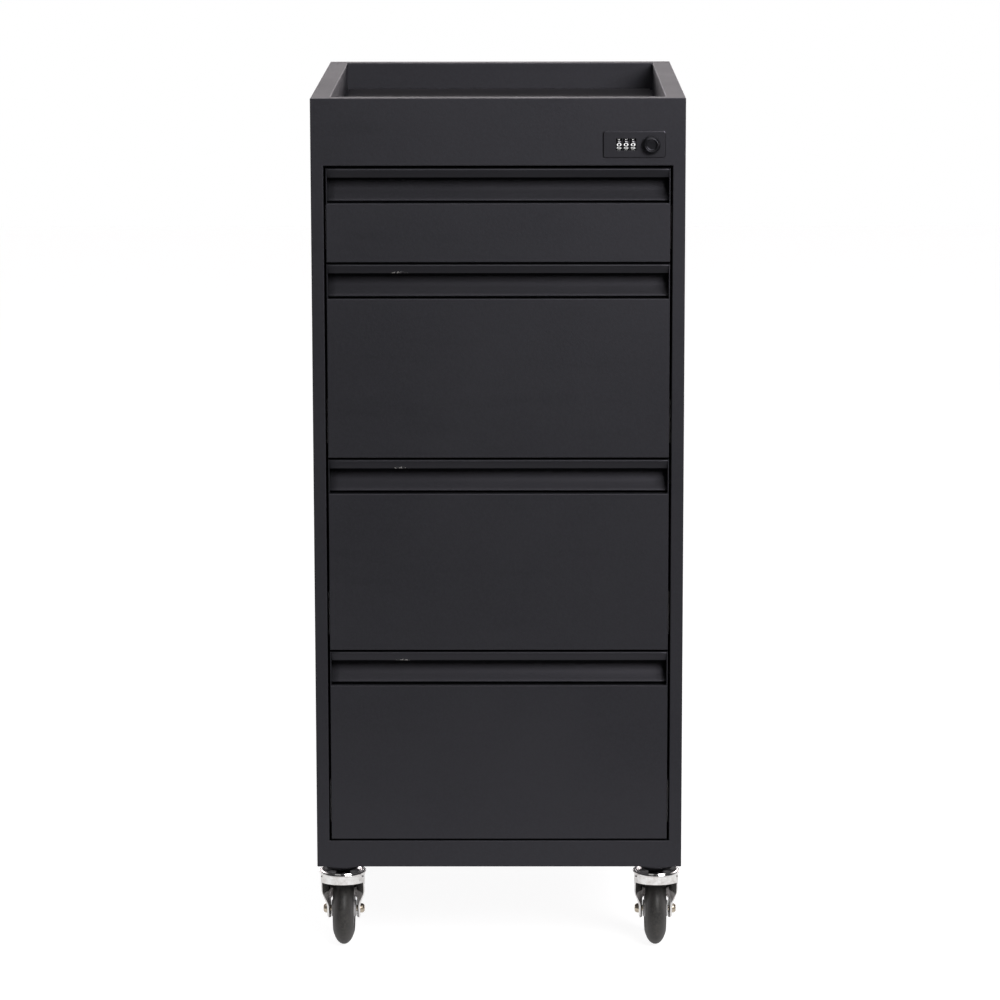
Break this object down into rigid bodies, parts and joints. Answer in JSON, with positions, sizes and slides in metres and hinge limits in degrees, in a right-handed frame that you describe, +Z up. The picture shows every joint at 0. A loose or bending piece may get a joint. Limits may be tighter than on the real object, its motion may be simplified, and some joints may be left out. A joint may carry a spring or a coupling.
{
  "type": "rolling pedestal cabinet",
  "caption": "Slim steel cabinet on swivel casters, with an open tray top, a combination lock and drawers with full-width finger pulls.",
  "frame": {"origin": "on the floor under the middle of the body", "axes": "+X to the right seen from the front, +Y from the front to the back, +Z up"},
  "size_m": [0.375, 0.4612, 0.892],
  "materials": {
    "powder_coat": "matte black powder coat with a very fine grain",
    "pull_coat": "matte black powder coat, worn a little on the lip",
    "box_coat": "matte black powder coat",
    "mat_rubber": "thin matte black rubber",
    "zinc_steel": "zinc plated rolled steel",
    "lock_plastic": "fine textured black plastic",
    "knob_plastic": "satin black plastic",
    "dial_plastic": "glossy black with white numerals",
    "black_steel": "black painted steel",
    "chrome": "bright chrome plate",
    "wheel_rubber": "grey black rubber, dusty on the tread",
    "hub_plastic": "light grey moulded plastic",
    "bolt_steel": "plated steel fasteners"
  },
  "bodies": {
    "cabinet": {"side_panel_left": "powder_coat", "side_panel_right": "powder_coat", "side_liner_left": "powder_coat", "side_liner_right": "powder_coat", "back_panel": "powder_coat", "base_panel": "powder_coat", "front_fascia": "powder_coat", "plinth_rail": "powder_coat", "top_tray": "powder_coat", "tray_mat": "mat_rubber", "slide_rails_left": "zinc_steel", "slide_rails_right": "zinc_steel", "lock_housing": "lock_plastic", "lock_retainer": "lock_plastic", "lock_dial_shaft": "bolt_steel", "caster_stems": "black_steel", "caster_nuts": "bolt_steel", "back_screws": "bolt_steel"},
    "drawer_1": {"drawer_1_front": "powder_coat", "drawer_1_pull": "pull_coat", "drawer_1_box": "box_coat", "drawer_1_runners": "zinc_steel"},
    "slide_1": {"slide_1_middles": "zinc_steel"},
    "drawer_2": {"drawer_2_front": "powder_coat", "drawer_2_pull": "pull_coat", "drawer_2_box": "box_coat", "drawer_2_runners": "zinc_steel"},
    "slide_2": {"slide_2_middles": "zinc_steel"},
    "drawer_3": {"drawer_3_front": "powder_coat", "drawer_3_pull": "pull_coat", "drawer_3_box": "box_coat", "drawer_3_runners": "zinc_steel"},
    "slide_3": {"slide_3_middles": "zinc_steel"},
    "drawer_4": {"drawer_4_front": "powder_coat", "drawer_4_pull": "pull_coat", "drawer_4_box": "box_coat", "drawer_4_runners": "zinc_steel"},
    "slide_4": {"slide_4_middles": "zinc_steel"},
    "caster_1": {"caster_1_fork": "chrome", "caster_1_axle": "bolt_steel"},
    "wheel_1": {"caster_1_tyre": "wheel_rubber", "caster_1_hub": "hub_plastic"},
    "caster_2": {"caster_2_fork": "chrome", "caster_2_axle": "bolt_steel"},
    "wheel_2": {"caster_2_tyre": "wheel_rubber", "caster_2_hub": "hub_plastic"},
    "caster_3": {"caster_3_fork": "chrome", "caster_3_axle": "bolt_steel"},
    "wheel_3": {"caster_3_tyre": "wheel_rubber", "caster_3_hub": "hub_plastic"},
    "caster_4": {"caster_4_fork": "chrome", "caster_4_axle": "bolt_steel"},
    "wheel_4": {"caster_4_tyre": "wheel_rubber", "caster_4_hub": "hub_plastic"},
    "lock_knob": {"lock_knob": "knob_plastic", "lock_cam": "bolt_steel"},
    "lock_bar": {"lock_bar": "black_steel"},
    "dial_1": {"lock_dial_1": "dial_plastic"},
    "dial_2": {"lock_dial_2": "dial_plastic"},
    "dial_3": {"lock_dial_3": "dial_plastic"}
  },
  "joints": [
    {"name": "drawer_1_open", "type": "slide", "parent": "cabinet", "child": "drawer_1", "axis": [0, -1, 0], "range_m": [0, 0.35]},
    {"name": "slide_1_extend", "type": "slide", "parent": "cabinet", "child": "slide_1", "axis": [0, -1, 0], "range_m": [0, 0.175]},
    {"name": "drawer_2_open", "type": "slide", "parent": "cabinet", "child": "drawer_2", "axis": [0, -1, 0], "range_m": [0, 0.35]},
    {"name": "slide_2_extend", "type": "slide", "parent": "cabinet", "child": "slide_2", "axis": [0, -1, 0], "range_m": [0, 0.175]},
    {"name": "drawer_3_open", "type": "slide", "parent": "cabinet", "child": "drawer_3", "axis": [0, -1, 0], "range_m": [0, 0.35]},
    {"name": "slide_3_extend", "type": "slide", "parent": "cabinet", "child": "slide_3", "axis": [0, -1, 0], "range_m": [0, 0.175]},
    {"name": "drawer_4_open", "type": "slide", "parent": "cabinet", "child": "drawer_4", "axis": [0, -1, 0], "range_m": [0, 0.35]},
    {"name": "slide_4_extend", "type": "slide", "parent": "cabinet", "child": "slide_4", "axis": [0, -1, 0], "range_m": [0, 0.175]},
    {"name": "caster_1_swivel", "type": "hinge", "parent": "cabinet", "child": "caster_1", "pos_m": [-0.163, -0.19, 0.085], "axis": [0, 0, 1], "continuous": true},
    {"name": "wheel_1_roll", "type": "hinge", "parent": "caster_1", "child": "wheel_1", "pos_m": [-0.163, -0.164, 0.0375], "axis": [1, 0, 0], "continuous": true},
    {"name": "caster_2_swivel", "type": "hinge", "parent": "cabinet", "child": "caster_2", "pos_m": [0.163, -0.19, 0.085], "axis": [0, 0, 1], "continuous": true},
    {"name": "wheel_2_roll", "type": "hinge", "parent": "caster_2", "child": "wheel_2", "pos_m": [0.163, -0.164, 0.0375], "axis": [1, 0, 0], "continuous": true},
    {"name": "caster_3_swivel", "type": "hinge", "parent": "cabinet", "child": "caster_3", "pos_m": [-0.163, 0.19, 0.085], "axis": [0, 0, 1], "continuous": true},
    {"name": "wheel_3_roll", "type": "hinge", "parent": "caster_3", "child": "wheel_3", "pos_m": [-0.163, 0.164, 0.0375], "axis": [1, 0, 0], "continuous": true},
    {"name": "caster_4_swivel", "type": "hinge", "parent": "cabinet", "child": "caster_4", "pos_m": [0.163, 0.19, 0.085], "axis": [0, 0, 1], "continuous": true},
    {"name": "wheel_4_roll", "type": "hinge", "parent": "caster_4", "child": "wheel_4", "pos_m": [0.163, 0.164, 0.0375], "axis": [1, 0, 0], "continuous": true},
    {"name": "lock_knob_turn", "type": "hinge", "parent": "cabinet", "child": "lock_knob", "pos_m": [0.153, -0.225, 0.84575], "axis": [0, -1, 0], "range_deg": [0, 90]},
    {"name": "lock_bar_lift", "type": "slide", "parent": "cabinet", "child": "lock_bar", "axis": [0, 0, 1], "range_m": [0, 0.008]},
    {"name": "dial_1_turn", "type": "hinge", "parent": "cabinet", "child": "dial_1", "pos_m": [0.1208, -0.2206, 0.84575], "axis": [1, 0, 0], "continuous": true},
    {"name": "dial_2_turn", "type": "hinge", "parent": "cabinet", "child": "dial_2", "pos_m": [0.1278, -0.2206, 0.84575], "axis": [1, 0, 0], "continuous": true},
    {"name": "dial_3_turn", "type": "hinge", "parent": "cabinet", "child": "dial_3", "pos_m": [0.1348, -0.2206, 0.84575], "axis": [1, 0, 0], "continuous": true}
  ],
  "couplings": [
    {"joint": "slide_1_extend", "follows": "drawer_1_open", "ratio": 0.5},
    {"joint": "slide_2_extend", "follows": "drawer_2_open", "ratio": 0.5},
    {"joint": "slide_3_extend", "follows": "drawer_3_open", "ratio": 0.5},
    {"joint": "slide_4_extend", "follows": "drawer_4_open", "ratio": 0.5},
    {"joint": "lock_knob_turn", "follows": "lock_bar_lift", "rad_per_m": 196.35}
  ]
}
